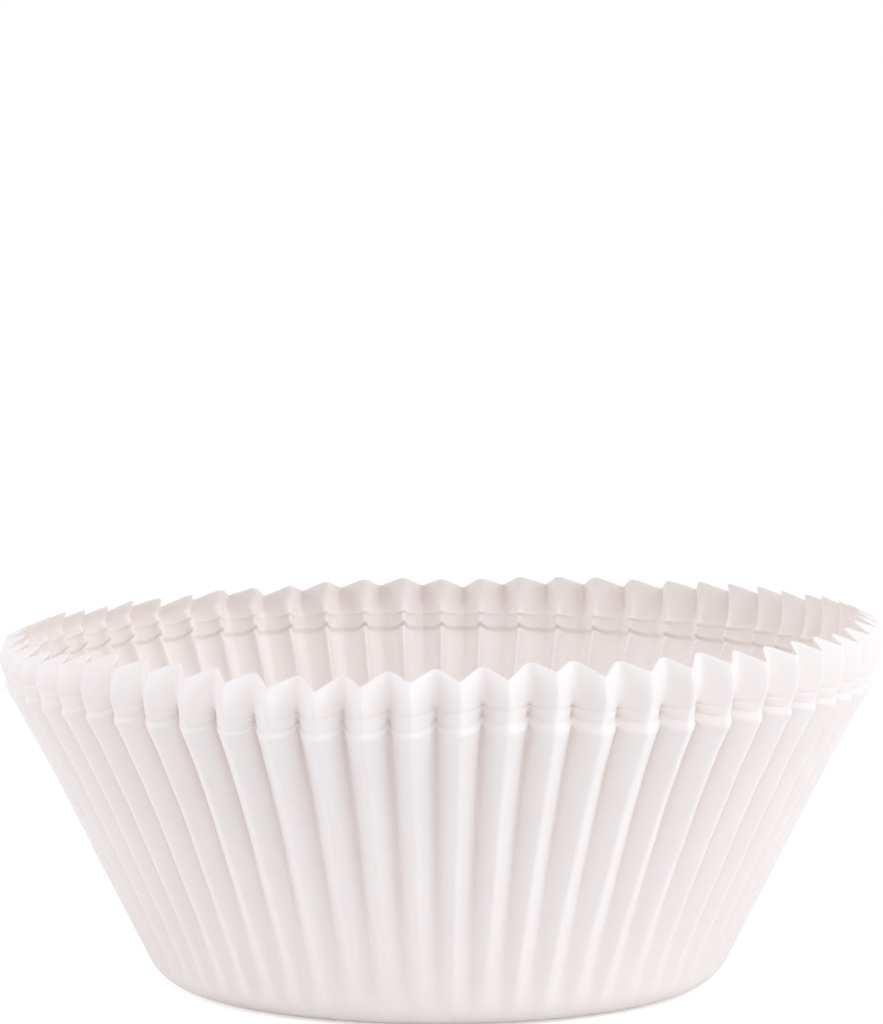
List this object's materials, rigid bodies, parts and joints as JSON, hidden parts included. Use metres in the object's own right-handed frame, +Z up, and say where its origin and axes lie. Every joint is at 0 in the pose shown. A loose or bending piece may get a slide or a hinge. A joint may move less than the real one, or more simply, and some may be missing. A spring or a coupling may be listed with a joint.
{
  "type": "cupcake liner",
  "caption": "Round pleated paper baking cup with a flat base, a leaning fluted wall and a crimped, flared rim.",
  "frame": {"origin": "centre of the underside of the flat base, on the surface that the liner stands on", "axes": "+Z up along the cup's axis, from the base to the open mouth; +X through the crest of one pleat"},
  "size_m": [0.0788, 0.0788, 0.0324],
  "materials": {
    "paper": "matte"
  },
  "bodies": {
    "root": {"liner": "paper"}
  },
  "joints": []
}
